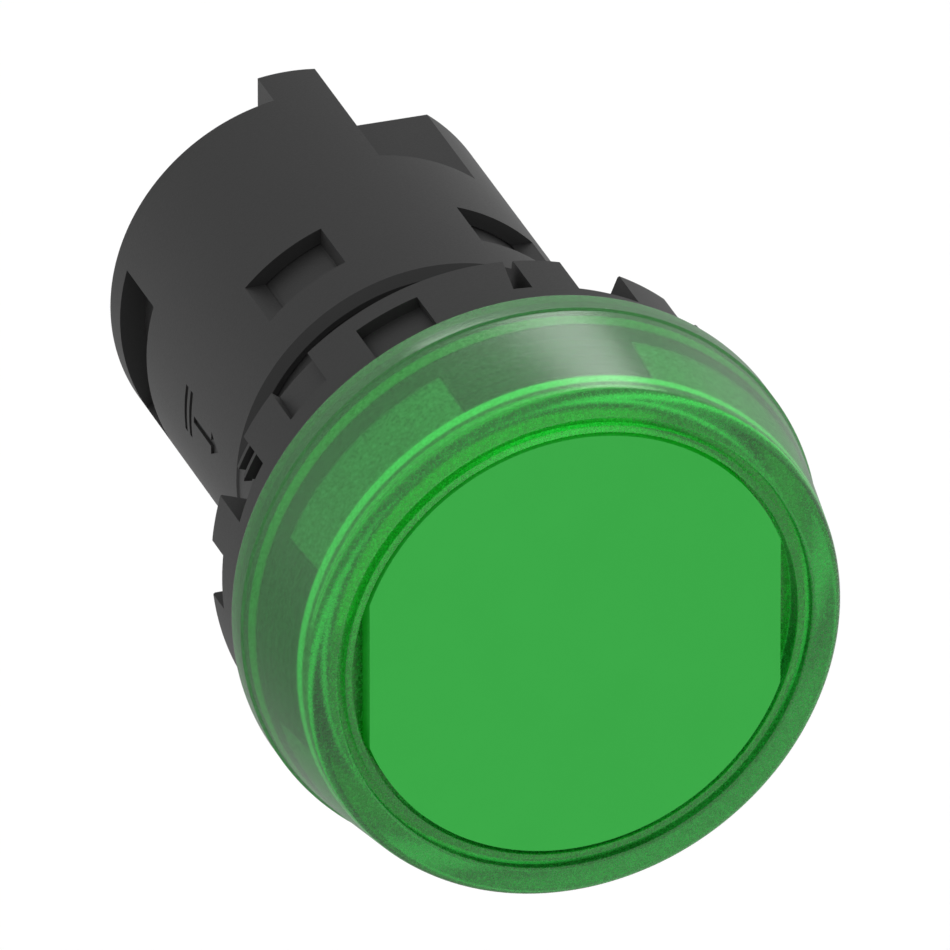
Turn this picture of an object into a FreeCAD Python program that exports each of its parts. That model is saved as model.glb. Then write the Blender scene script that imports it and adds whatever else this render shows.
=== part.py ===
import FreeCAD, Part
import math
import os
from FreeCAD import Vector

# Panel pilot light: the head that goes into a 22.3 mm panel hole, in millimetres and degrees.
# Its axis lies along Y and the lens looks towards -Y. Stations are distances along the axis,
# counted forwards (towards the lens) from the panel's front face, which is the plane y = 0.
# Angles are counted from the top (+Z), anticlockwise as seen from the front.

# Panel interface
panel_hole_radius = 11.15
spigot_clearance = 0.05
spigot_length = 2.6
seal_width = 1.35
seal_thickness = 1.35
seal_groove = 0.3
seal_bevel = 0.3
seal_clearance = 0.1
seal_stand = 0.35

# Collar: flange with a castellated rim, neck behind it, hub in front of it. The hub's fine
# thread is not cut here: the hub has its root radius and the lens clears its crest.
lug_wall = 1.5
flange_length = 5.3
spigot_chamfer = 0.2
neck_length = 8.7
neck_wall = 2.0
hub_setback = 1.95
hub_wall = 0.95
hub_window_angle = 47.0
hub_window_offset = 0.97
thread_height = 0.3
funnel_rear_station = -0.9
funnel_front_station = 3.6

# Castellations: (angle where it starts, angle where it ends, depth from the rim)
deep_notch = 3.0
shallow_notch = 1.76
seen_notches = (
    (61.6, 74.9, deep_notch),
    (84.8, 96.9, shallow_notch),
    (-29.6, -16.0, deep_notch),
    (-50.8, -41.2, deep_notch),
)
slant_notch_angle = -6.0
slant_notch_rim_width = 2.1
slant_notch_root_width = 6.9
rear_notch_first = 116.0
rear_notch_width = 13.0
rear_notch_pitch = 28.2
rear_notch_count = 7
pocket_angles = (40.3, 51.1)
pocket_depth = 0.58
port_angles = (16.0, 29.9)
port_depth = 2.2
port_offset = 1.32
port_length = 3.5

# Mounting sleeve behind the panel
sleeve_radius = 10.0
sleeve_length = 19.6
panel_gap = 6.72
socket_wall = 0.75
socket_clearance = 0.05
sleeve_wall = 1.6
sleeve_chamfer = 0.2
tab_width = 2.8
tab_reach = 2.49
flat_height = 7.93
flat_length = 6.63
flat_wall = 0.65
latch_window_angle = 27.0
latch_window_centre = 33.7
latch_window_length = 3.7
latch_window_inset = 3.3
latch_clearance = 0.15
latch_sink = 0.15
holder_slot_angles = (74.4, 120.0)
holder_slot_inset = 1.49
holder_slot_length = 4.06

# Lens cap, with the plate let into its front, and the ring that seals it
lens_overhang = 0.8
lens_seat_gap = 0.05
lens_length = 8.24
lens_band_length = 1.55
lens_band_step = 0.12
lens_taper = 1.08
lens_clearance = 0.3
lens_floor = 1.0
lens_chamfer = 0.2
lens_edge_round = 0.5
bead_groove_width = 0.35
bead_groove_depth = 0.45
plate_radius = 11.07
plate_flat = 10.38
plate_thickness = 1.1
plate_clearance = 0.2
plate_sink = 0.06
ring_section = 1.0
ring_clearance = 0.05
ring_thread_clearance = 0.1

# Light guide inside the hub
guide_clearance = 0.1
guide_wall = 1.0
guide_pad_clearance = 0.8
guide_rim_thickness = 0.6
guide_rim_width = 0.1
guide_front_clearance = 0.38

# Radii that follow from the sizes above
spigot_radius = panel_hole_radius - spigot_clearance
seal_seat_radius = spigot_radius - seal_groove
lug_inner_radius = seal_seat_radius + seal_width + 2 * seal_clearance
flange_radius = lug_inner_radius + lug_wall
hub_radius = flange_radius - hub_setback
hub_bore = hub_radius - hub_wall
thread_radius = hub_radius + thread_height
neck_radius = sleeve_radius - socket_wall - socket_clearance
neck_bore = neck_radius - neck_wall
lens_radius = flange_radius + lens_overhang
lens_bore = thread_radius + lens_clearance
ring_inner_radius = thread_radius + ring_thread_clearance
ring_groove_radius = ring_inner_radius + ring_section + ring_clearance
guide_radius = hub_bore - guide_clearance
guide_tail_radius = neck_bore - guide_clearance

# Stations that follow from the sizes above
rim_station = seal_stand
flange_station = rim_station + flange_length
window_station = flange_station + hub_window_offset
sleeve_front = -panel_gap
sleeve_rear = sleeve_front - sleeve_length
neck_rear = sleeve_front - neck_length
lens_rear = flange_station + lens_seat_gap
lens_front = lens_rear + lens_length
plate_front = lens_front - plate_sink
plate_rear = plate_front - plate_thickness
lens_inside = plate_rear - lens_floor
guide_front = lens_inside - guide_front_clearance
hub_station = guide_front - guide_rim_thickness - guide_clearance
latch_front = sleeve_front - latch_window_inset
latch_rear = latch_front - latch_window_length

main_axis = Vector(0, -1, 0)
centre = Vector(0, 0, 0)


def corner_edges(corners):
    """Edges through a closed run of (radius, station, rounding) corners, with tangent arcs."""
    stops = []
    for index, (radius, station, rounding) in enumerate(corners):
        here = Vector(0, -station, radius)
        if rounding == 0:
            stops.append((here, None, here))
            continue
        last_radius, last_station, _ = corners[index - 1]
        next_radius, next_station, _ = corners[(index + 1) % len(corners)]
        back = (Vector(0, -last_station, last_radius) - here).normalize()
        ahead = (Vector(0, -next_station, next_radius) - here).normalize()
        half_angle = back.getAngle(ahead) / 2
        reach = rounding / math.tan(half_angle)
        middle = here + (back + ahead).normalize() * (rounding / math.sin(half_angle) - rounding)
        stops.append((here + back * reach, middle, here + ahead * reach))
    edges = []
    for index, (start, middle, finish) in enumerate(stops):
        if middle is not None:
            edges.append(Part.Arc(start, middle, finish).toShape())
        following = stops[(index + 1) % len(stops)][0]
        if finish.distanceToPoint(following) > 1e-6:
            edges.append(Part.LineSegment(finish, following).toShape())
    return edges


def turned(corners, start=0.0, sweep=360.0):
    """Solid turned about the axis from a closed outline of (radius, station, rounding) corners."""
    face = Part.Face(Part.Wire(corner_edges(corners)))
    face.rotate(centre, main_axis, start)
    return face.revolve(centre, main_axis, sweep)


def sector(inner, outer, rear, front, start, finish):
    """Block between two radii, two stations and two angles."""
    corners = [(inner, rear, 0), (inner, front, 0), (outer, front, 0), (outer, rear, 0)]
    return turned(corners, start, finish - start)


def block(left, right, rear, front, low, high):
    """Plain box between two X, two stations and two heights."""
    corner = Vector(left, -front, low)
    return Part.makeBox(right - left, front - rear, high - low, corner)


def notch_cutter(start, finish, root_start, root_finish, inner, outer, rim, depth):
    """Parallel-sided cut into the rim, at its own angles on the rim and at its root."""
    middle = (start + finish) / 2
    spread = []
    for angle, station in (
        (start, rim - depth),
        (start, rim),
        (root_start, rim + depth),
        (root_finish, rim + depth),
        (finish, rim),
        (finish, rim - depth),
    ):
        offset = outer * math.sin(math.radians(angle - middle))
        spread.append(Vector(-offset, -station, inner))
    wire = Part.makePolygon(spread + [spread[0]])
    cutter = Part.Face(wire).extrude(Vector(0, 0, outer - inner + lug_wall))
    cutter.rotate(centre, main_axis, middle)
    return cutter


def make_panel_seal():
    """Flat rubber ring in the recess between the spigot and the castellations."""
    inner = seal_seat_radius + seal_clearance
    outer = inner + seal_width
    return turned([
        (inner + seal_bevel, 0, 0),
        (inner, seal_bevel, 0),
        (inner, seal_thickness, 0),
        (outer, seal_thickness, 0),
        (outer, seal_bevel, 0),
        (outer - seal_bevel, 0, 0),
    ])


def make_collar():
    """One moulding: neck, spigot, castellated flange and windowed hub."""
    collar = turned([
        (neck_bore, neck_rear, 0),
        (neck_bore, funnel_rear_station, 0),
        (hub_bore, funnel_front_station, 0),
        (hub_bore, hub_station, 0),
        (hub_radius, hub_station, 0),
        (hub_radius, flange_station, 0),
        (flange_radius, flange_station, 0),
        (flange_radius, rim_station, 0),
        (lug_inner_radius, rim_station, 0),
        (lug_inner_radius, seal_thickness, 0),
        (seal_seat_radius, seal_thickness, 0),
        (seal_seat_radius, 0, 0),
        (spigot_radius, 0, 0),
        (spigot_radius, spigot_chamfer - spigot_length, 0),
        (spigot_radius - spigot_chamfer, -spigot_length, 0),
        (neck_radius, -spigot_length, 0),
        (neck_radius, neck_rear, 0),
    ])

    for start, finish, depth in seen_notches:
        cutter = notch_cutter(start, finish, start, finish, lug_inner_radius, flange_radius,
                              rim_station, depth)
        collar = collar.cut(cutter)
    collar = collar.cut(notch_cutter(
        slant_notch_angle,
        slant_notch_angle + slant_notch_rim_width,
        slant_notch_angle,
        slant_notch_angle + slant_notch_root_width,
        lug_inner_radius,
        flange_radius,
        rim_station,
        deep_notch,
    ))
    for step in range(rear_notch_count):
        start = rear_notch_first + step * rear_notch_pitch
        finish = start + rear_notch_width
        cutter = notch_cutter(start, finish, start, finish, lug_inner_radius, flange_radius,
                              rim_station, deep_notch)
        collar = collar.cut(cutter)

    outside = flange_radius + lug_wall
    pocket_floor = flange_radius - pocket_depth
    collar = collar.cut(sector(pocket_floor, outside, rim_station - lug_wall,
                               rim_station + deep_notch, *pocket_angles))
    port_rear = rim_station + port_offset
    collar = collar.cut(sector(flange_radius - port_depth, outside, port_rear,
                               port_rear + port_length, *port_angles))

    for quarter in range(4):
        middle = 45 + 90 * quarter
        collar = collar.cut(sector(
            hub_bore - hub_wall,
            thread_radius + hub_wall,
            window_station,
            hub_station + hub_wall,
            middle - hub_window_angle / 2,
            middle + hub_window_angle / 2,
        ))

    latch_top = sleeve_radius - latch_sink
    latch_half = latch_window_angle / 2 - math.degrees(latch_clearance / sleeve_radius)
    latch_outline = [
        (neck_radius - neck_wall / 2, latch_rear + latch_clearance, 0),
        (neck_radius, latch_rear + latch_clearance, 0),
        (latch_top, latch_front - latch_clearance - latch_window_length / 4, 0),
        (latch_top, latch_front - latch_clearance, 0),
        (neck_radius - neck_wall / 2, latch_front - latch_clearance, 0),
    ]
    for middle in latch_angles():
        collar = collar.fuse(turned(latch_outline, middle - latch_half, 2 * latch_half))
    return collar


def latch_angles():
    """Angles of the four snap latches and of the windows that they click into."""
    side = latch_window_centre
    return (side, -side, 180 - side, 180 + side)


def make_sleeve():
    """Tube behind the panel, with its tab, flat, latch windows and holder slots."""
    bore = sleeve_radius - sleeve_wall
    socket = sleeve_radius - socket_wall
    socket_end = neck_rear - latch_clearance
    tab_rear = sleeve_rear - tab_reach
    flat_front = sleeve_rear + flat_length
    half_tab = tab_width / 2
    beyond = 2 * sleeve_radius

    sleeve = turned([
        (0, tab_rear, 0),
        (0, sleeve_front, 0),
        (sleeve_radius - sleeve_chamfer, sleeve_front, 0),
        (sleeve_radius, sleeve_front - sleeve_chamfer, 0),
        (sleeve_radius, tab_rear, 0),
    ])
    for side in (-1, 1):
        inner_side = side * half_tab
        outer_side = side * beyond
        sleeve = sleeve.cut(block(min(inner_side, outer_side), max(inner_side, outer_side),
                                  tab_rear - beyond, sleeve_rear, -beyond, beyond))
    sleeve = sleeve.cut(block(-beyond, beyond, tab_rear - beyond, sleeve_rear, -beyond, 0))
    sleeve = sleeve.cut(block(half_tab, beyond, sleeve_rear - beyond, flat_front,
                              flat_height, beyond))

    hollow = turned([
        (0, tab_rear - beyond, 0),
        (0, sleeve_front + beyond, 0),
        (socket, sleeve_front + beyond, 0),
        (socket, socket_end, 0),
        (bore, socket_end, 0),
        (bore, tab_rear - beyond, 0),
    ])
    hollow = hollow.cut(block(half_tab - flat_wall, beyond, sleeve_rear, flat_front + flat_wall,
                              flat_height - flat_wall, beyond))
    sleeve = sleeve.cut(hollow)

    outside = sleeve_radius + sleeve_wall
    for middle in latch_angles():
        sleeve = sleeve.cut(sector(socket - socket_clearance, outside, latch_rear, latch_front,
                                   middle - latch_window_angle / 2,
                                   middle + latch_window_angle / 2))
    slot_rear = sleeve_rear + holder_slot_inset
    slot_start, slot_finish = holder_slot_angles
    for start, finish in ((slot_start, slot_finish), (-slot_finish, -slot_start)):
        sleeve = sleeve.cut(sector(bore - sleeve_wall, outside, slot_rear,
                                   slot_rear + holder_slot_length, start, finish))
    return sleeve


def make_lens():
    """Transparent cap: band at the rear, tapering wall, rounded front bead and plate recess."""
    band_front = lens_rear + lens_band_length
    cone_radius = lens_radius - lens_band_step
    front_radius = cone_radius - lens_taper
    recess = plate_radius + plate_clearance
    groove_outer = recess + 2 * bead_groove_width
    ring_front = lens_rear + ring_section + ring_clearance
    return turned([
        (0, lens_inside, 0),
        (0, plate_rear, 0),
        (recess, plate_rear, 0),
        (recess, plate_front, 0),
        (recess + bead_groove_width, plate_front, 0),
        (recess + bead_groove_width, lens_front - bead_groove_depth, 0),
        (groove_outer, lens_front - bead_groove_depth, 0),
        (groove_outer, lens_front, lens_edge_round / 2),
        (front_radius, lens_front, lens_edge_round),
        (cone_radius, band_front + lens_band_step, 0),
        (lens_radius, band_front, 0),
        (lens_radius, lens_rear + lens_chamfer, 0),
        (lens_radius - lens_chamfer, lens_rear, 0),
        (ring_groove_radius, lens_rear, 0),
        (ring_groove_radius, ring_front, 0),
        (lens_bore, ring_front, 0),
        (lens_bore, lens_inside, 0),
    ])


def make_plate():
    """Round plate with two flats, let into the lens front."""
    plate = turned([
        (0, plate_rear, 0),
        (0, plate_front, 0),
        (plate_radius, plate_front, 0),
        (plate_radius, plate_rear, 0),
    ])
    return plate.common(block(-plate_flat, plate_flat, plate_rear, plate_front,
                              -plate_radius, plate_radius))


def make_lens_ring():
    """Square-section rubber ring that seals the lens cap against the flange."""
    ring_rear = flange_station + ring_clearance
    return turned([
        (ring_inner_radius, ring_rear, 0),
        (ring_inner_radius, ring_rear + ring_section, 0),
        (ring_inner_radius + ring_section, ring_rear + ring_section, 0),
        (ring_inner_radius + ring_section, ring_rear, 0),
    ])


def make_guide():
    """Frosted funnel that fills the hub windows and is closed by a thin rim plate."""
    rim_rear = hub_station + guide_clearance
    slope = guide_clearance
    guide = turned([
        (0, guide_front, 0),
        (hub_radius + guide_rim_width, guide_front, 0),
        (hub_radius + guide_rim_width, rim_rear, 0),
        (guide_radius, rim_rear, 0),
        (guide_radius, funnel_front_station + slope, 0),
        (guide_tail_radius, funnel_rear_station + slope, 0),
        (guide_tail_radius, funnel_rear_station, 0),
        (guide_tail_radius - guide_wall, funnel_rear_station, 0),
        (guide_tail_radius - guide_wall, funnel_rear_station + slope + guide_wall / 2, 0),
        (guide_radius - guide_wall, funnel_front_station + slope + guide_wall / 2, 0),
        (guide_radius - guide_wall, guide_front - guide_wall, 0),
        (0, guide_front - guide_wall, 0),
    ])
    half_angle = (hub_window_angle - guide_pad_clearance) / 2
    for quarter in range(4):
        middle = 45 + 90 * quarter
        pad = sector(guide_radius - guide_wall / 2, hub_radius, window_station + guide_clearance,
                     guide_front, middle - half_angle, middle + half_angle)
        guide = guide.fuse(pad)
    return guide.removeSplitter()


pieces = {
    "panel_seal": make_panel_seal(),
    "front_collar": make_collar(),
    "mounting_sleeve": make_sleeve(),
    "lens_cap": make_lens(),
    "front_plate": make_plate(),
    "lens_ring": make_lens_ring(),
    "light_guide": make_guide(),
}

os.makedirs("parts", exist_ok=True)
for name, shape in pieces.items():
    shape.exportStep("parts/" + name + ".step")
    print(name, "solids", len(shape.Solids), "volume", round(shape.Volume, 2), "valid", shape.isValid())
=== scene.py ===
import bpy
import bmesh
import math
from mathutils import Matrix, Vector


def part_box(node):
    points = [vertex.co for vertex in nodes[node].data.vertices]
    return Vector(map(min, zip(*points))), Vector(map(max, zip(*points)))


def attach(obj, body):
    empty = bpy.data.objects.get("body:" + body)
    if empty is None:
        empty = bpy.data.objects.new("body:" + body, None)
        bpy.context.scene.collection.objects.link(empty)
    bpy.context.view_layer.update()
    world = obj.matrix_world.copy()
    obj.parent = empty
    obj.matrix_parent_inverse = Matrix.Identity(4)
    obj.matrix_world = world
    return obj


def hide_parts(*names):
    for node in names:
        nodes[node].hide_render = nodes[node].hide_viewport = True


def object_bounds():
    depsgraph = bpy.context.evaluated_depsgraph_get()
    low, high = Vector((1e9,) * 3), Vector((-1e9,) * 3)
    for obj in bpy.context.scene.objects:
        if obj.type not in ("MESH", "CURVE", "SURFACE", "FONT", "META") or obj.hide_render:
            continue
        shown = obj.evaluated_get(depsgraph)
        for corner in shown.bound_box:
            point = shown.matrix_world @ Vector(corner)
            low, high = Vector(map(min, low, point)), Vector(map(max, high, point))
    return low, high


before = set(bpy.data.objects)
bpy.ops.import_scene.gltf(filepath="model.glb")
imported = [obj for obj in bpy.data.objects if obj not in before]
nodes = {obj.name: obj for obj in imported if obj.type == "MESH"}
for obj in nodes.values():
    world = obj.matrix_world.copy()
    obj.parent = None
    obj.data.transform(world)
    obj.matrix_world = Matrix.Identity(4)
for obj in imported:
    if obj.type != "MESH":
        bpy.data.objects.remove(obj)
cadLow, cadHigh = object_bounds()
print("frame loaded with", len(nodes), "pieces")

mm = 0.001
mergeDistance = 0.00005 * mm
cloudShare = 0.6                        # how much of a plastic's tone follows the large noise
speckRange = (0.35, 0.7)                # the part of the noise that colours a speckled plastic
windowMiddles = range(45, 360, 90)      # the hub's four windows lie between its pillars


class Wire:
    # an output socket of a tree, so that an expression on values adds its Math nodes
    def __init__(self, owner, socket):
        self.owner = owner
        self.socket = socket

    def maths(self, operation, first, second):
        return self.owner.node("ShaderNodeMath", {"operation": operation}, {0: first, 1: second})

    def __add__(self, other):
        return self.maths("ADD", self, other)

    def __sub__(self, other):
        return self.maths("SUBTRACT", self, other)

    def __rsub__(self, other):
        return self.maths("SUBTRACT", other, self)

    def __mul__(self, other):
        return self.maths("MULTIPLY", self, other)

    def __truediv__(self, other):
        return self.maths("DIVIDE", self, other)

    __radd__ = __add__
    __rmul__ = __mul__

    def __rtruediv__(self, other):
        return self.maths("DIVIDE", other, self)


class Tree:
    # a node tree, with the one method that adds its nodes
    def __init__(self, tree):
        self.tree = tree
        tree.nodes.clear()

    def node(self, kind, settings=None, sockets=None, output=0):
        made = self.tree.nodes.new(kind)
        for key, value in (settings or {}).items():
            if key == "stops":
                self.setStops(made.color_ramp, value)
            else:
                setattr(made, key, value)
        for key, value in (sockets or {}).items():
            if isinstance(value, Wire):
                self.tree.links.new(value.socket, made.inputs[key])
            else:
                made.inputs[key].default_value = value
        return None if output is None else Wire(self, made.outputs[output])

    def setStops(self, ramp, stops):
        while len(ramp.elements) < len(stops):
            ramp.elements.new(1.0)
        for element, (place, colour) in zip(ramp.elements, stops):
            element.position = place
            element.color = colour


class Finish(Tree):
    # a procedural material
    def __init__(self, name):
        self.material = bpy.data.materials.new(name)
        self.material.use_nodes = True
        super().__init__(self.material.node_tree)
        self.output = self.tree.nodes.new("ShaderNodeOutputMaterial")

    def where(self):
        return self.node("ShaderNodeTexCoord", output="Object")

    def noise(self, scale, detail=2.0, roughness=0.5):
        return self.node("ShaderNodeTexNoise", {}, {
            "Vector": self.where(),
            "Scale": scale,
            "Detail": detail,
            "Roughness": roughness,
        })

    def station(self):
        # distance along the axis, counted towards the lens
        return 0 - self.node("ShaderNodeSeparateXYZ", {}, {0: self.where()}, output="Y")

    def radius(self):
        # distance from the axis
        across = self.node("ShaderNodeVectorMath", {"operation": "MULTIPLY"},
                           {0: self.where(), 1: (1, 0, 1)})
        return self.node("ShaderNodeVectorMath", {"operation": "LENGTH"}, {0: across}, output="Value")

    def ramp(self, value, low, high):
        # rises from 0 at low to 1 at high
        return self.node("ShaderNodeMapRange", {"clamp": True}, {
            "Value": value,
            "From Min": low,
            "From Max": high,
        })

    def blend(self, factor, first, second):
        return self.node(
            "ShaderNodeMix", {"data_type": "RGBA"}, {0: factor, 6: first, 7: second}, output=2)

    def bump(self, height, distance):
        return self.node("ShaderNodeBump", {}, {
            "Strength": 1.0,
            "Distance": distance,
            "Height": height,
        })

    def principled(self, sockets):
        return self.node("ShaderNodeBsdfPrincipled", {}, sockets)

    def surface(self, shader):
        self.tree.links.new(shader.socket, self.output.inputs["Surface"])
        return self.material


def rgb(red, green, blue):
    return (red, green, blue, 1.0)


# Black moulded plastic: fine spark-eroded grain, faint cloudiness of tone
plasticLook = {
    "dark": rgb(0.015, 0.015, 0.015),
    "light": rgb(0.017, 0.017, 0.017),
    "roughness": 0.55,
    "roughnessSwing": 0.12,
    "specular": 0.25,
    "grainScale": 9000,
    "grainDepth": 0.004 * mm,
    "cloudScale": 260,
}


def makePlastic(name, look):
    finish = Finish(name)
    cloud = finish.noise(look["cloudScale"], detail=3.0)
    grain = finish.noise(look["grainScale"])
    tone = cloud * cloudShare + grain * (1 - cloudShare)
    rough = look["roughness"] + (grain - 0.5) * look["roughnessSwing"]
    return finish.surface(finish.principled({
        "Base Color": finish.blend(tone, look["dark"], look["light"]),
        "Roughness": rough,
        "Specular IOR Level": look["specular"],
        "Normal": finish.bump(grain, look["grainDepth"]),
    }))


# Rubber of the seals
rubberLook = {
    "dark": rgb(0.012, 0.012, 0.012),
    "light": rgb(0.016, 0.016, 0.016),
    "roughness": 0.62,
    "roughnessSwing": 0.1,
    "specular": 0.3,
    "grainScale": 4000,
    "grainDepth": 0.006 * mm,
    "cloudScale": 400,
}

# Matt green of the front plate
plateLook = {
    "dark": rgb(0.018, 0.345, 0.036),
    "light": rgb(0.024, 0.375, 0.044),
    "roughness": 0.7,
    "roughnessSwing": 0.08,
    "specular": 0.35,
    "grainScale": 6000,
    "grainDepth": 0.003 * mm,
    "cloudScale": 300,
}

# Frosted white plastic of the light guide. A painted highlight, near-white, lies on the outer face of its
# thin rim over the hub and on the upper side of its front edge
frostLook = {
    "dark": rgb(0.1, 0.11, 0.1),
    "light": rgb(0.34, 0.36, 0.34),
    # the near-white rim colour is a painted highlight, not the plastic's own colour
    "rim": rgb(0.95, 0.97, 0.95),
    "highlightUp": (-0.485, 0, 0.875),
    "highlightReach": 7.0 * mm,
    "highlightBlend": 0.6 * mm,
    "highlightFray": 2 * mm,
    "highlightRadius": 11.8 * mm,
    "highlightRadiusBlend": 0.1 * mm,
    "rimStation": 11.25 * mm,
    "rimRadius": 12.15 * mm,
    "rimBlend": 0.05 * mm,
    "roughness": 0.6,
    "roughnessSwing": 0.1,
    "grainScale": 5200,
    "grainDepth": 0.02 * mm,
}


def makeFrost(name, look):
    finish = Finish(name)
    grain = finish.noise(look["grainScale"], detail=3.0, roughness=0.7)
    body = finish.blend(finish.ramp(grain, *speckRange), look["dark"], look["light"])
    # painted highlight mask: the rim's outer face at the front, and the upper side of the front edge within
    # the highlight radius, frayed by the grain
    upward = finish.node("ShaderNodeVectorMath", {"operation": "DOT_PRODUCT"},
                         {0: finish.where(), 1: look["highlightUp"]}, output="Value")
    frayed = upward + (grain - 0.5) * look["highlightFray"]
    radius = finish.radius()
    rimStation, rimRadius, rimBlend = look["rimStation"], look["rimRadius"], look["rimBlend"]
    outside = finish.ramp(radius, rimRadius, rimRadius + rimBlend)
    raised = finish.ramp(frayed, look["highlightReach"], look["highlightReach"] + look["highlightBlend"])
    within = 1 - finish.ramp(radius, look["highlightRadius"], look["highlightRadius"] + look["highlightRadiusBlend"])
    front = finish.ramp(finish.station(), rimStation, rimStation + rimBlend)
    rim = front * (outside + within * raised)
    return finish.surface(finish.principled({
        "Base Color": finish.blend(rim, body, look["rim"]),
        "Roughness": look["roughness"] + (grain - 0.5) * look["roughnessSwing"],
        "Normal": finish.bump(grain, look["grainDepth"]),
    }))


# Clear green plastic of the lens cap
lensLook = {
    "dark": rgb(0.02, 0.5, 0.05),
    "light": rgb(0.06, 0.9, 0.13),
    "roughness": 0.14,
    "roughnessSwing": 0.14,
    "haze": 0.13,
    "index": 1.49,
    "speckScale": 6000,
    "speckDepth": 0.005 * mm,
    "shadowTint": rgb(0.12, 0.85, 0.2),
}

# Front ring of the lens cap, and the small groove in it
ringLook = dict(lensLook, roughness=0.2, haze=0.1)

# Front wall of the groove that holds the seal ring: a painted highlight, a lighter and hazier copy of the
# lens green with coarser grain, so the wall shows as a bright grainy line
grooveHighlightLook = dict(lensLook, dark=rgb(0.05, 0.7, 0.12), light=rgb(0.2, 1, 0.3), roughness=0.5,
                haze=0.6, speckDepth=0.01 * mm)

# Inner faces of the lens cap, which lie on the hub as if wetted, so light goes straight through
innerLook = {"tint": rgb(1, 1, 1)}


def makeClearGreen(name, look):
    finish = Finish(name)
    speck = finish.noise(look["speckScale"], detail=3.0, roughness=0.7)
    glass = finish.principled({
        "Base Color": finish.blend(finish.ramp(speck, *speckRange), look["dark"], look["light"]),
        "Roughness": look["roughness"] + speck * look["roughnessSwing"],
        "IOR": look["index"],
        "Transmission Weight": 1 - look["haze"],
        "Normal": finish.bump(speck, look["speckDepth"]),
    })
    # light passes through for shadows, tinted, so the frosted guide behind is lit
    clear = finish.node("ShaderNodeBsdfTransparent", {}, {"Color": look["shadowTint"]})
    shadow = finish.node("ShaderNodeLightPath", output="Is Shadow Ray")
    return finish.surface(finish.node("ShaderNodeMixShader", {}, {0: shadow, 1: glass, 2: clear}))


def makeInnerClear(name, look):
    finish = Finish(name)
    return finish.surface(finish.node("ShaderNodeBsdfTransparent", {}, {"Color": look["tint"]}))


finishes = {
    "mounting_sleeve": makePlastic("sleevePlastic", plasticLook),
    "front_collar": makePlastic("collarPlastic", plasticLook),
    "panel_seal": makePlastic("sealRubber", rubberLook),
    "lens_ring": makePlastic("ringRubber", rubberLook),
    "front_plate": makePlastic("plateGreen", plateLook),
    "light_guide": makeFrost("frostedPlastic", frostLook),
    "lens_cap": makeClearGreen("clearGreen", lensLook),
}
for name, finish in finishes.items():
    nodes[name].data.materials.clear()
    nodes[name].data.materials.append(finish)
print("finishes made:", len(finishes))


def addTurned(mesh, profile, segments, start=0, sweep=360):
    # closed outline of (radius, station) turned about the axis; stations count towards the lens,
    # angles from the top, anticlockwise as seen from the lens
    whole = sweep == 360
    rings = []
    for radius, station in profile:
        if radius == 0:
            rings.append([mesh.verts.new((0, -station, 0))])
            continue
        ring = []
        for step in range(segments if whole else segments + 1):
            angle = math.radians(start + sweep * step / segments)
            ring.append(mesh.verts.new((-radius * math.sin(angle), -station, radius * math.cos(angle))))
        rings.append(ring)
    for index, ring in enumerate(rings):
        following = rings[(index + 1) % len(rings)]
        if len(ring) == 1 and len(following) == 1:
            continue
        for step in range(segments):
            ahead = (step + 1) % len(max(ring, following, key=len))
            if len(ring) == 1:
                corners = [ring[0], following[ahead], following[step]]
            elif len(following) == 1:
                corners = [ring[step], ring[ahead], following[0]]
            else:
                corners = [ring[step], ring[ahead], following[ahead], following[step]]
            mesh.faces.new(corners)
    if not whole:
        mesh.faces.new([ring[0] for ring in rings])
        mesh.faces.new([ring[-1] for ring in reversed(rings)])


def addSector(mesh, inner, outer, rear, front, start, finish):
    # a block between two radii, two stations and two angles, with a step about every two degrees
    profile = [(inner, rear), (inner, front), (outer, front), (outer, rear)]
    steps = max(4, round((finish - start) / 2))
    addTurned(mesh, profile, steps, start, finish - start)


def addBox(mesh, left, right, rear, front, low, high):
    middle = Vector(((left + right) / 2, -(rear + front) / 2, (low + high) / 2))
    size = Matrix.Diagonal((right - left, front - rear, high - low, 1))
    bmesh.ops.create_cube(mesh, size=1, matrix=Matrix.Translation(middle) @ size)


def addPrism(mesh, outline, low, high, turn):
    # outline of (across, station) raised from low to high, then turned about the axis
    spin = Matrix.Rotation(math.radians(-turn), 3, "Y")
    floor, top = [[mesh.verts.new(spin @ Vector((across, -station, level))) for across, station in outline]
                  for level in (low, high)]
    mesh.faces.new(floor)
    mesh.faces.new(list(reversed(top)))
    for index in range(len(outline)):
        ahead = (index + 1) % len(outline)
        mesh.faces.new([floor[ahead], floor[index], top[index], top[ahead]])


def asPiece(name, mesh, material=None):
    bmesh.ops.recalc_face_normals(mesh, faces=mesh.faces)
    data = bpy.data.meshes.new(name)
    mesh.to_mesh(data)
    mesh.free()
    made = bpy.data.objects.new(name, data)
    bpy.context.scene.collection.objects.link(made)
    if material:
        data.materials.append(material)
    return made


def carve(piece, mesh, operation="DIFFERENCE"):
    # cuts, joins or crosses a piece with the closed shapes of a mesh, and keeps a plain mesh
    tool = asPiece("tool", mesh)
    modifier = piece.modifiers.new("carve", "BOOLEAN")
    modifier.operation = operation
    modifier.solver = "EXACT"
    modifier.object = tool
    seen = piece.evaluated_get(bpy.context.evaluated_depsgraph_get())
    shape = bpy.data.meshes.new_from_object(seen)
    piece.modifiers.clear()
    clean = bmesh.new()
    clean.from_mesh(shape)
    bmesh.ops.dissolve_degenerate(clean, dist=mergeDistance, edges=clean.edges)
    clean.to_mesh(shape)
    clean.free()
    piece.data = shape
    bpy.data.objects.remove(tool)


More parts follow.
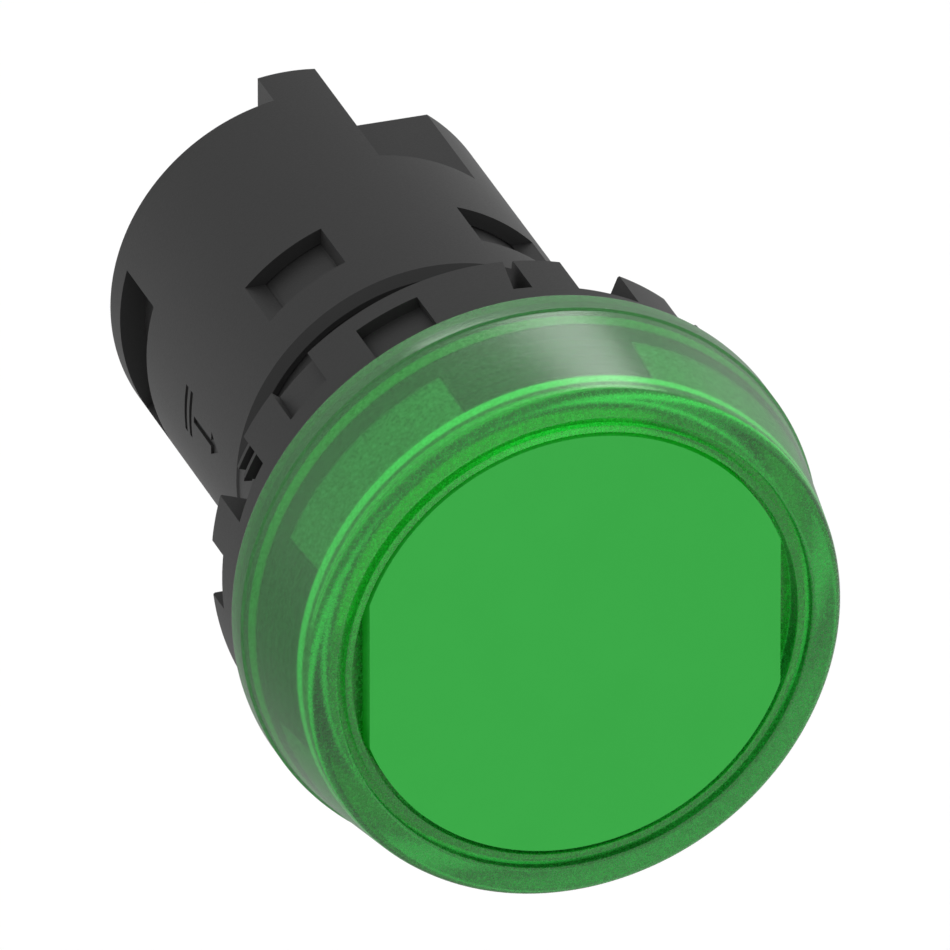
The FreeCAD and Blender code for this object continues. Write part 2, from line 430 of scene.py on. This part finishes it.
class Grower(Tree):
    # a Geometry Nodes tree with named inputs
    def __init__(self, name, inputs):
        super().__init__(bpy.data.node_groups.new(name, "GeometryNodeTree"))
        for label, kind in inputs.items():
            self.tree.interface.new_socket(label, in_out="INPUT", socket_type=kind)
        self.tree.interface.new_socket("Geometry", in_out="OUTPUT", socket_type="NodeSocketGeometry")
        self.start = self.tree.nodes.new("NodeGroupInput")

    def given(self, label):
        return Wire(self, self.start.outputs[label])

    def close(self, shape, material):
        real = self.node("GeometryNodeRealizeInstances", {}, {"Geometry": shape})
        made = self.node("GeometryNodeSetMaterial", {}, {"Geometry": real, "Material": material})
        self.node("NodeGroupOutput", {}, {"Geometry": made}, output=None)
        return self.tree


def grow(name, tree, sizes):
    # runs a Geometry Nodes tree with its sizes and keeps the plain mesh
    host = bpy.data.objects.new(name, bpy.data.meshes.new(name))
    bpy.context.scene.collection.objects.link(host)
    modifier = host.modifiers.new("grow", "NODES")
    modifier.node_group = tree
    for item in tree.interface.items_tree:
        if item.in_out == "INPUT":
            modifier[item.identifier] = sizes[item.name]
    seen = host.evaluated_get(bpy.context.evaluated_depsgraph_get())
    shape = bpy.data.meshes.new_from_object(seen)
    host.modifiers.clear()
    host.data = shape
    return host


def shade(piece, angle=24):
    for polygon in piece.data.polygons:
        polygon.use_smooth = True
    piece.data.set_sharp_from_angle(angle=math.radians(angle))


def rounded(profile, steps=6):
    # (radius, station, rounding) corners of a closed outline, each rounded by an arc of short steps
    points = []
    for index, (radius, station, rounding) in enumerate(profile):
        here = Vector((radius, station))
        if rounding == 0:
            points.append((radius, station))
            continue
        last = Vector(profile[index - 1][:2])
        ahead = Vector(profile[(index + 1) % len(profile)][:2])
        back = (last - here).normalized()
        onward = (ahead - here).normalized()
        half = back.angle(onward) / 2
        centre = here + (back + onward).normalized() * rounding / math.sin(half)
        start = here + back * rounding / math.tan(half)
        finish = here + onward * rounding / math.tan(half)
        first = start - centre
        turn = first.angle_signed(finish - centre)
        for step in range(steps + 1):
            part = first.copy()
            part.rotate(Matrix.Rotation(-turn * step / steps, 2))
            points.append(tuple(centre + part))
    return points


# Windowed hub, castellated flange and neck: one moulding
collarLow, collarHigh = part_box("front_collar")
sealLow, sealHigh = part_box("panel_seal")
sleeveLow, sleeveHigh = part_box("mounting_sleeve")
collarSizes = {
    "segments": 240,
    "rimStation": 0.35 * mm,
    "flangeStation": 5.65 * mm,
    "lugWall": 1.5 * mm,
    "rimChamfer": 0.12 * mm,
    "spigotRadius": 11.1 * mm,
    "spigotGroove": 0.3 * mm,
    "spigotLength": 2.6 * mm,
    "spigotChamfer": 0.2 * mm,
    "neckRadius": 9.2 * mm,
    "neckWall": 2.0 * mm,
    "hubRadius": 12.15 * mm,
    "hubWall": 0.95 * mm,
    "hubStation": 11.2 * mm,
    "hubWindowStation": 7.7 * mm,
    "hubWindowAngle": 47.7,
    "funnel": (-0.9 * mm, 3.6 * mm),
    "notches": (
        (67.0, 74.9, 3.0 * mm),
        (84.8, 96.9, 1.76 * mm),
        (-29.6, -16.0, 3.0 * mm),
        (-50.8, -41.2, 3.0 * mm),
    ),
    "ribbedAngles": (61.6, 67.5),
    "ribbedStations": ((-1.5 * mm, 0.8 * mm), (1.05 * mm, 1.75 * mm), (2.0 * mm, 3.0 * mm)),
    "slantNotch": (-6.0, -3.9, -2.0),
    "notchDepth": 3.0 * mm,
    "rearNotches": (116.0, 13.0, 28.2, 7),
    "pocketAngles": (40.3, 51.1),
    "pocketDepth": 0.58 * mm,
    "portAngles": (16.0, 29.9),
    "portDepth": 0.6 * mm,
    "portOffset": 1.32 * mm,
    "portLength": 3.5 * mm,
    "finHeight": 1.3 * mm,
    "finStations": (-5.05 * mm, -4.75 * mm),
    "finAngles": ((61.0, 83.0), (96.0, 118.0)),
}

# Openings near the tube's corners, where the latches of the neck show
latchSizes = {
    "side": 3.46 * mm,
    "height": 6.8 * mm,
    "rear": -13.72 * mm,
    "front": -10.02 * mm,
    "clearance": 0.15 * mm,
    "rise": 0.1 * mm,
    "straightShare": 0.25,
}


def addCorners(mesh, sizes, clearance):
    # four blocks that take the corners of the tube, so that each opening has straight sides
    reach = 2 * collarHigh.x
    side = sizes["side"] + clearance
    height = sizes["height"] + clearance
    for left, right in ((side, reach), (-reach, -side)):
        for low, high in ((height, reach), (-reach, -height)):
            addBox(mesh, left, right, sizes["rear"], sizes["front"], low, high)


def addNotch(mesh, sizes, angles, rootAngles, depth):
    # a notch through the rim's wall; its root may lie at other angles than its mouth
    start, finish = angles
    rootStart, rootFinish = rootAngles
    middle = (start + finish) / 2
    outer = collarHigh.x
    rim = sizes["rimStation"]
    outline = []
    for angle, station in ((start, rim - depth), (start, rim), (rootStart, rim + depth),
                           (rootFinish, rim + depth), (finish, rim), (finish, rim - depth)):
        outline.append((-outer * math.sin(math.radians(angle - middle)), station))
    addPrism(mesh, outline, outer - sizes["lugWall"], outer + sizes["lugWall"], middle)


def buildCollar(sizes, latch):
    flange = collarHigh.x
    beyond = 2 * flange
    rim = sizes["rimStation"]
    lug = flange - sizes["lugWall"]
    seat = sizes["spigotRadius"] - sizes["spigotGroove"]
    neck = sizes["neckRadius"]
    neckBore = neck - sizes["neckWall"]
    neckRear = -collarHigh.y
    hub = sizes["hubRadius"]
    bore = hub - sizes["hubWall"]
    funnelRear, funnelFront = sizes["funnel"]
    sealFront = -sealLow.y
    mesh = bmesh.new()
    addTurned(mesh, [
        (neckBore, neckRear),
        (neckBore, funnelRear),
        (bore, funnelFront),
        (bore, sizes["hubStation"]),
        (hub, sizes["hubStation"]),
        (hub, sizes["flangeStation"]),
        (flange, sizes["flangeStation"]),
        (flange, rim + sizes["rimChamfer"]),
        (flange - sizes["rimChamfer"], rim),
        (lug, rim),
        (lug, sealFront),
        (seat, sealFront),
        (seat, 0),
        (sizes["spigotRadius"], 0),
        (sizes["spigotRadius"], sizes["spigotChamfer"] - sizes["spigotLength"]),
        (sizes["spigotRadius"] - sizes["spigotChamfer"], -sizes["spigotLength"]),
        (neck, -sizes["spigotLength"]),
        (neck, neckRear),
    ], sizes["segments"])
    collar = asPiece("castellated_collar", mesh, finishes["front_collar"])

    cuts = bmesh.new()
    for start, finish, depth in sizes["notches"]:
        addNotch(cuts, sizes, (start, finish), (start, finish), depth)
    slantStart, slantRim, slantRoot = sizes["slantNotch"]
    addNotch(cuts, sizes, (slantStart, slantRim), (slantStart, slantRoot), sizes["notchDepth"])
    first, width, pitch, count = sizes["rearNotches"]
    for step in range(count):
        start = first + step * pitch
        addNotch(cuts, sizes, (start, start + width), (start, start + width), sizes["notchDepth"])
    addSector(cuts, flange - sizes["pocketDepth"], beyond, rim - sizes["lugWall"],
              rim + sizes["notchDepth"], *sizes["pocketAngles"])
    port = rim + sizes["portOffset"]
    addSector(cuts, flange - sizes["portDepth"], beyond, port, port + sizes["portLength"],
              *sizes["portAngles"])
    half = sizes["hubWindowAngle"] / 2
    for middle in windowMiddles:
        addSector(cuts, bore - sizes["hubWall"], beyond, sizes["hubWindowStation"],
                  sizes["hubStation"] + sizes["hubWall"], middle - half, middle + half)
    carve(collar, cuts)
    ribs = bmesh.new()
    for rear, front in sizes["ribbedStations"]:
        addSector(ribs, flange - sizes["pocketDepth"], beyond, rim + rear, rim + front,
                  *sizes["ribbedAngles"])
    carve(collar, ribs)

    gap = latch["clearance"]
    root = neck - sizes["neckWall"] / 2
    top = neck + latch["rise"]
    straight = latch["straightShare"] * (latch["front"] - latch["rear"])
    mesh = bmesh.new()
    addTurned(mesh, [
        (root, latch["rear"] + gap),
        (neck, latch["rear"] + gap),
        (top, latch["front"] - straight),
        (top, latch["front"] - gap),
        (root, latch["front"] - gap),
    ], sizes["segments"])
    latches = asPiece("latches", mesh)
    corners = bmesh.new()
    addCorners(corners, latch, gap)
    carve(latches, corners, "INTERSECT")
    extras = bmesh.new()
    extras.from_mesh(latches.data)
    bpy.data.objects.remove(latches)
    for start, finish in sizes["finAngles"]:
        addSector(extras, root, neck + sizes["finHeight"], *sizes["finStations"], start, finish)
    carve(collar, extras, "UNION")
    shade(collar)
    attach(collar, "head")
    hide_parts("front_collar")
    return collar


collarPiece = buildCollar(collarSizes, latchSizes)
print("collar carved:", len(collarPiece.data.polygons), "faces")

# Two-start thread on the hub's four pillars, which the lens screws on to
threadSizes = {
    "Radius": 12.13 * mm,
    "Height": 0.13 * mm,
    "Pitch": 0.8 * mm,
    "Sweep": math.radians(41.5),
    "Ridges": 5,
    "First": 7.2 * mm,
    "Pillars": 4,
    "Steps": 220,
    "Sides": 6,
}


def threadTree():
    tree = Grower("hubThread", {
        "Radius": "NodeSocketFloat",
        "Height": "NodeSocketFloat",
        "Pitch": "NodeSocketFloat",
        "Sweep": "NodeSocketFloat",
        "Ridges": "NodeSocketInt",
        "First": "NodeSocketFloat",
        "Pillars": "NodeSocketInt",
        "Steps": "NodeSocketInt",
        "Sides": "NodeSocketInt",
    })
    radius, height, pitch, sweep = [tree.given(name) for name in ("Radius", "Height", "Pitch", "Sweep")]
    turns = sweep / (2 * math.pi)
    arc = tree.node("GeometryNodeCurveSpiral", {}, {
        "Resolution": tree.given("Steps"),
        "Rotations": turns,
        "Start Radius": radius,
        "End Radius": radius,
        "Height": turns * pitch * 2,
    })
    section = tree.node("GeometryNodeCurvePrimitiveCircle", {}, {
        "Resolution": tree.given("Sides"),
        "Radius": height,
    })
    ridge = tree.node("GeometryNodeCurveToMesh", {}, {
        "Curve": arc,
        "Profile Curve": section,
        "Fill Caps": True,
    })
    step = tree.node("ShaderNodeCombineXYZ", {}, {"Z": pitch})
    rows = tree.node("GeometryNodeMeshLine", {}, {"Count": tree.given("Ridges"), "Offset": step})
    stack = tree.node("GeometryNodeInstanceOnPoints", {}, {"Points": rows, "Instance": ridge})
    # with two starts, the ridges of every other pillar lie half a pitch further on
    pillar = tree.node("GeometryNodeInputIndex")
    lift = tree.node("ShaderNodeMath", {"operation": "MODULO"}, {0: pillar, 1: 2.0}) * pitch * 0.5
    spots = tree.node("GeometryNodeMeshLine", {}, {"Count": tree.given("Pillars"), "Offset": (0, 0, 0)})
    spots = tree.node("GeometryNodeSetPosition", {}, {
        "Geometry": spots,
        "Offset": tree.node("ShaderNodeCombineXYZ", {}, {"Z": lift}),
    })
    angle = pillar * (2 * math.pi) / tree.given("Pillars") + sweep * 0.5
    turn = tree.node("ShaderNodeCombineXYZ", {}, {"Z": angle})
    around = tree.node("GeometryNodeInstanceOnPoints", {}, {
        "Points": spots,
        "Instance": stack,
        "Rotation": turn,
    })
    place = tree.node("ShaderNodeCombineXYZ", {}, {"Y": 0 - tree.given("First")})
    laid = tree.node("GeometryNodeTransform", {}, {
        "Geometry": around,
        "Translation": place,
        "Rotation": (math.pi / 2, 0, 0),
    })
    return tree.close(laid, finishes["front_collar"])


def buildThread(sizes):
    thread = grow("hub_thread", threadTree(), sizes)
    shade(thread, 70)
    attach(thread, "head")
    return thread


threadPiece = buildThread(threadSizes)
print("thread grown:", len(threadPiece.data.polygons), "faces")

# Tube behind the panel; the mark is an arrow with two bars, in (across, along) millimetres
sleeveSizes = {
    "segments": 240,
    "wall": 2.0 * mm,
    "socketWall": 0.75 * mm,
    "socketEnd": -15.57 * mm,
    "length": 19.6 * mm,
    "frontChamfer": 0.45 * mm,
    "tabSides": (-1.58 * mm, 1.35 * mm),
    "flatHeight": 7.8 * mm,
    "flatLength": 7.2 * mm,
    "flatWall": 0.65 * mm,
    "tongueAngles": (84.0, 95.0),
    "tongueReach": 3.97 * mm,
    "tongueSink": 0.1 * mm,
    "slotAngles": (74.4, 120.0),
    "slotInset": 1.49 * mm,
    "slotLength": 4.06 * mm,
    "slotDepth": 1.3 * mm,
    "markAngle": 89.0,
    "markStation": -12.0 * mm,
    "markDepth": 0.15 * mm,
    "arrow": ((0, 2.1), (0.6, 1.0), (0.17, 1.0), (0.17, -1.6), (-0.17, -1.6), (-0.17, 1.0), (-0.6, 1.0)),
    "bars": ((-2.3, -1.95), (-3.0, -2.65)),
    "barHalf": 1.2,
}


def buildSleeve(sizes, latch):
    radius = sleeveHigh.x
    front = -sleeveLow.y
    tabRear = -sleeveHigh.y
    rear = front - sizes["length"]
    beyond = 2 * radius
    bore = radius - sizes["wall"]
    socket = radius - sizes["socketWall"]
    flatFront = rear + sizes["flatLength"]
    tabLeft, tabRight = sizes["tabSides"]
    mesh = bmesh.new()
    addTurned(mesh, [
        (0, tabRear),
        (0, front),
        (radius - sizes["frontChamfer"], front),
        (radius, front - sizes["frontChamfer"]),
        (radius, tabRear),
    ], sizes["segments"])
    sleeve = asPiece("mounting_tube", mesh, finishes["mounting_sleeve"])
    for left, right, high in ((-beyond, tabLeft, beyond), (tabRight, beyond, beyond), (-beyond, beyond, 0)):
        end = bmesh.new()
        addBox(end, left, right, tabRear - radius, rear, -beyond, high)
        carve(sleeve, end)

    hollow = bmesh.new()
    addTurned(hollow, [(0, tabRear - radius), (0, beyond), (socket, beyond), (socket, sizes["socketEnd"]),
                       (bore, sizes["socketEnd"]), (bore, tabRear - radius)], sizes["segments"])
    hollowPiece = asPiece("hollow", hollow)
    flatBack = bmesh.new()
    addBox(flatBack, tabRight - sizes["flatWall"], beyond, rear, flatFront + sizes["flatWall"],
           sizes["flatHeight"] - sizes["flatWall"], beyond)
    carve(hollowPiece, flatBack)
    hollow = bmesh.new()
    hollow.from_mesh(hollowPiece.data)
    bpy.data.objects.remove(hollowPiece)
    carve(sleeve, hollow)

    cuts = bmesh.new()
    addBox(cuts, tabRight, beyond, rear - radius, flatFront, sizes["flatHeight"], beyond)
    addCorners(cuts, latch, 0)
    slotRear = rear + sizes["slotInset"]
    start, finish = sizes["slotAngles"]
    for first, last in ((start, finish), (-finish, -start)):
        addSector(cuts, radius - sizes["slotDepth"], beyond, slotRear, slotRear + sizes["slotLength"],
                  first, last)
    strokes = [sizes["arrow"]]
    half = sizes["barHalf"]
    depth = sizes["markDepth"]
    for low, high in sizes["bars"]:
        strokes.append(((-half, low), (half, low), (half, high), (-half, high)))
    for stroke in strokes:
        outline = [(across * mm, sizes["markStation"] + along * mm) for across, along in stroke]
        addPrism(cuts, outline, radius - depth, radius + depth, sizes["markAngle"])
    carve(sleeve, cuts)
    tongue = bmesh.new()
    addSector(tongue, socket, radius - sizes["tongueSink"], front - sizes["socketWall"],
              front + sizes["tongueReach"], *sizes["tongueAngles"])
    carve(sleeve, tongue, "UNION")
    shade(sleeve)
    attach(sleeve, "head")
    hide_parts("mounting_sleeve")
    return sleeve


sleevePiece = buildSleeve(sleeveSizes, latchSizes)
print("sleeve carved:", len(sleevePiece.data.polygons), "faces")

# Frosted funnel: it fills the hub's windows and ends in a thin rim over the hub
guideSizes = {
    "segments": 240,
    "clearance": 0.1 * mm,
    "wall": 1.0 * mm,
    "front": 11.8 * mm,
    "rimWidth": 0.1 * mm,
    "padGap": 0.4,
}


def buildGuide(sizes, collar):
    gap = sizes["clearance"]
    hub = collar["hubRadius"]
    radius = hub - collar["hubWall"] - gap
    tail = collar["neckRadius"] - collar["neckWall"] - gap
    rimRear = collar["hubStation"] + gap
    rear, front = collar["funnel"]
    wall = sizes["wall"]
    mesh = bmesh.new()
    addTurned(mesh, [
        (hub + sizes["rimWidth"], sizes["front"]),
        (hub + sizes["rimWidth"], rimRear),
        (radius, rimRear),
        (radius, front + gap),
        (tail, rear + gap),
        (tail, rear),
        (tail - wall, rear),
        (tail - wall, rear + gap + wall / 2),
        (radius - wall, front + gap + wall / 2),
        (radius - wall, sizes["front"]),
    ], sizes["segments"])
    guide = asPiece("frosted_guide", mesh, finishes["light_guide"])
    pads = bmesh.new()
    half = collar["hubWindowAngle"] / 2 - sizes["padGap"]
    for middle in windowMiddles:
        addSector(pads, radius - wall / 2, hub, collar["hubWindowStation"] + gap,
                  sizes["front"] - gap, middle - half, middle + half)
    carve(guide, pads, "UNION")
    shade(guide)
    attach(guide, "head")
    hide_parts("light_guide")
    return guide


guidePiece = buildGuide(guideSizes, collarSizes)
print("light guide joined:", len(guidePiece.data.polygons), "faces")

# Clear lens cap; the plate and the seal ring give the places of its recess and groove
lensLow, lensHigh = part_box("lens_cap")
plateLow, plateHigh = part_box("front_plate")
ringLow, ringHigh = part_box("lens_ring")
lensSizes = {
    "bandLength": 1.55 * mm,
    "bandStep": 0.12 * mm,
    "taper": 1.08 * mm,
    "bore": 12.5 * mm,
    "floor": 0.6 * mm,
    "segments": 240,
    "rearRound": 0.25 * mm,
    "frontRound": 0.5 * mm,
    "cornerRound": 0.4 * mm,
    "grooveRound": 0.2 * mm,
    "stepRound": 0.05 * mm,
    "plateGap": 0.2 * mm,
    "plateBed": 0.03 * mm,
    "grooveWidth": 0.35 * mm,
    "grooveDepth": 0.45 * mm,
    "ringGap": 0.05 * mm,
}


def buildLens(sizes):
    rear = -lensHigh.y
    front = -lensLow.y
    radius = lensHigh.x
    cone = radius - sizes["bandStep"]
    bandFront = rear + sizes["bandLength"]
    frontRadius = cone - sizes["taper"]
    plateFront = -plateLow.y
    recessFloor = -plateHigh.y - sizes["plateBed"]
    inside = -plateHigh.y - sizes["floor"]
    recess = plateHigh.z + sizes["plateGap"]
    groove = recess + sizes["grooveWidth"]
    ringRadius = ringHigh.x + sizes["ringGap"]
    ringFront = -ringLow.y + sizes["ringGap"]
    profile = rounded([
        (0, inside, 0),
        (0, recessFloor, 0),
        (recess, recessFloor, 0),
        (recess, plateFront, 0),
        (groove, plateFront, 0),
        (groove, front - sizes["grooveDepth"], 0),
        (groove + sizes["grooveWidth"], front - sizes["grooveDepth"], 0),
        (groove + sizes["grooveWidth"], front, sizes["grooveRound"]),
        (frontRadius, front, sizes["frontRound"]),
        (cone, bandFront + sizes["bandStep"], sizes["stepRound"]),
        (radius, bandFront, sizes["stepRound"]),
        (radius, rear, sizes["rearRound"]),
        (ringRadius, rear, 0),
        (ringRadius, ringFront, 0),
        (sizes["bore"], ringFront, 0),
        (sizes["bore"], inside, sizes["cornerRound"]),
    ])
    mesh = bmesh.new()
    addTurned(mesh, profile, sizes["segments"])
    lens = asPiece("clear_lens", mesh, finishes["lens_cap"])
    shade(lens)
    for look in (makeInnerClear("innerClear", innerLook), makeClearGreen("ringGreen", ringLook),
                 makeClearGreen("grooveGreen", grooveHighlightLook)):
        lens.data.materials.append(look)
    # the faces against the hub, the front ring and the groove's front wall have finishes of their own; the
    # groove wall's finish is a painted highlight
    slack = 0.001 * mm
    for polygon in lens.data.polygons:
        corners = [lens.data.vertices[index].co for index in polygon.vertices]
        radii = [math.hypot(corner.x, corner.z) for corner in corners]
        stations = [-corner.y for corner in corners]
        level = max(stations) - min(stations) < slack
        deep = max(stations) < inside + slack and max(radii) < sizes["bore"] + slack
        besideRing = min(radii) > ringRadius - slack and max(radii) < ringRadius + slack
        if (deep or besideRing) and not level:
            polygon.material_index = 1
        elif max(radii) < frontRadius + slack and min(stations) > recessFloor - slack:
            polygon.material_index = 2
        elif level and abs(stations[0] - ringFront) < slack:
            polygon.material_index = 3
    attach(lens, "lens")
    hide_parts("lens_cap")
    return lens


lensPiece = buildLens(lensSizes)
print("lens cap turned")


# Floor, light and camera
stageLook = {
    "floorDrop": 0.16,
    "floorSize": 3.0,
    "floorTone": rgb(0.93, 0.93, 0.93),
    "floorLight": rgb(0.95, 0.95, 0.95),
    "floorScale": 14.0,
    "floorRoughness": 0.9,
    "worldStrength": 1.08,
    "dimSide": (0, 0.8, -0.6),
    "dimStops": [(0.4, rgb(1, 1, 1)), (0.7, rgb(0.52, 0.52, 0.52)), (1.0, rgb(0.4, 0.4, 0.4))],
}


def buildFloor(look):
    finish = Finish("paleFloor")
    cloud = finish.noise(look["floorScale"], detail=3.0)
    material = finish.surface(finish.principled({
        "Base Color": finish.blend(cloud, look["floorTone"], look["floorLight"]),
        "Roughness": look["floorRoughness"],
    }))
    half = look["floorSize"] / 2
    mesh = bmesh.new()
    corners = [(-half, -half), (half, -half), (half, half), (-half, half)]
    mesh.faces.new([mesh.verts.new((x, y, 0)) for x, y in corners])
    data = bpy.data.meshes.new("pale_floor")
    mesh.to_mesh(data)
    mesh.free()
    floor = bpy.data.objects.new("pale_floor", data)
    floor.location.z = cadLow.z - look["floorDrop"]
    data.materials.append(material)
    bpy.context.scene.collection.objects.link(floor)
    # the floor would turn the clear plastic grey, so it isn't seen in it or through it
    floor.visible_transmission = False
    floor.visible_glossy = False


def buildWorld(look):
    # the studio is white in front and above, and dims behind and below the object
    world = bpy.data.worlds.new("studioSky")
    bpy.context.scene.world = world
    world.use_nodes = True
    sky = Tree(world.node_tree)
    direction = sky.node("ShaderNodeTexCoord", output="Generated")
    dim = sky.node("ShaderNodeVectorMath", {"operation": "DOT_PRODUCT"},
                   {0: direction, 1: look["dimSide"]}, output="Value")
    tone = sky.node("ShaderNodeValToRGB", {"stops": look["dimStops"]}, {"Fac": dim})
    light = sky.node("ShaderNodeBackground", {}, {"Color": tone, "Strength": look["worldStrength"]})
    sky.node("ShaderNodeOutputWorld", {}, {"Surface": light}, output=None)


# Softboxes stand in a direction from the object; the last two light only the pieces named
softboxes = {
    "keySoftbox": {
        "direction": (-0.6, -0.5, 0.9),
        "distance": 0.5,
        "size": (0.3, 0.3),
        "power": 0.05,
        "pieces": (),
    },
    "topSoftbox": {
        "direction": (0.26, 0.64, 0.72),
        "distance": 0.5,
        "size": (0.5, 0.12),
        "power": 0.85,
        "pieces": (lensPiece, guidePiece),
    },
    "backSoftbox": {
        "direction": (0, 0.85, -0.5),
        "distance": 0.6,
        "size": (2.4, 0.9),
        "power": 3.0,
        "pieces": (collarPiece, sleevePiece, threadPiece),
    },
}


def addSoftbox(name, box):
    light = bpy.data.lights.new(name, "AREA")
    light.shape = "RECTANGLE"
    light.size, light.size_y = box["size"]
    light.energy = box["power"]
    lamp = bpy.data.objects.new(name, light)
    aim = Vector(box["direction"]).normalized()
    lamp.location = aim * box["distance"]
    lamp.rotation_mode = "QUATERNION"
    lamp.rotation_quaternion = aim.to_track_quat("Z", "Y")
    bpy.context.scene.collection.objects.link(lamp)
    if box["pieces"]:
        lit = bpy.data.collections.new(name + "Receivers")
        for piece in box["pieces"]:
            lit.objects.link(piece)
        lamp.light_linking.receiver_collection = lit


# The photograph is a parallel view, so the lens is very long
cameraView = {
    "azimuth": -18.95,
    "elevation": 27.81,
    "frameWidth": 45.66 * mm,
    "focal": 1450.0,
    "sensor": 36.0,
    "clipNear": 0.01,
    "clipFar": 10,
    "shiftUp": 1.944 * mm,
    "shiftRight": -0.295 * mm,
}


def buildCamera(shot):
    azimuth = math.radians(shot["azimuth"])
    elevation = math.radians(shot["elevation"])
    back = Vector((
        math.sin(azimuth) * math.cos(elevation),
        -math.cos(azimuth) * math.cos(elevation),
        math.sin(elevation),
    ))
    turn = (-back).to_track_quat("-Z", "Y")
    aim = turn @ Vector((shot["shiftRight"], shot["shiftUp"], 0))
    data = bpy.data.cameras.new("photoCamera")
    data.lens = shot["focal"]
    data.sensor_width = shot["sensor"]
    distance = shot["frameWidth"] * shot["focal"] / shot["sensor"]
    data.clip_start = distance * shot["clipNear"]
    data.clip_end = distance * shot["clipFar"]
    camera = bpy.data.objects.new("photoCamera", data)
    camera.rotation_mode = "QUATERNION"
    camera.rotation_quaternion = turn
    camera.location = aim + back * distance
    bpy.context.scene.collection.objects.link(camera)
    bpy.context.scene.camera = camera


buildFloor(stageLook)
buildWorld(stageLook)
for name, box in softboxes.items():
    addSoftbox(name, box)
buildCamera(cameraView)
bpy.context.scene.view_settings.view_transform = "Standard"
print("floor, light and camera set")
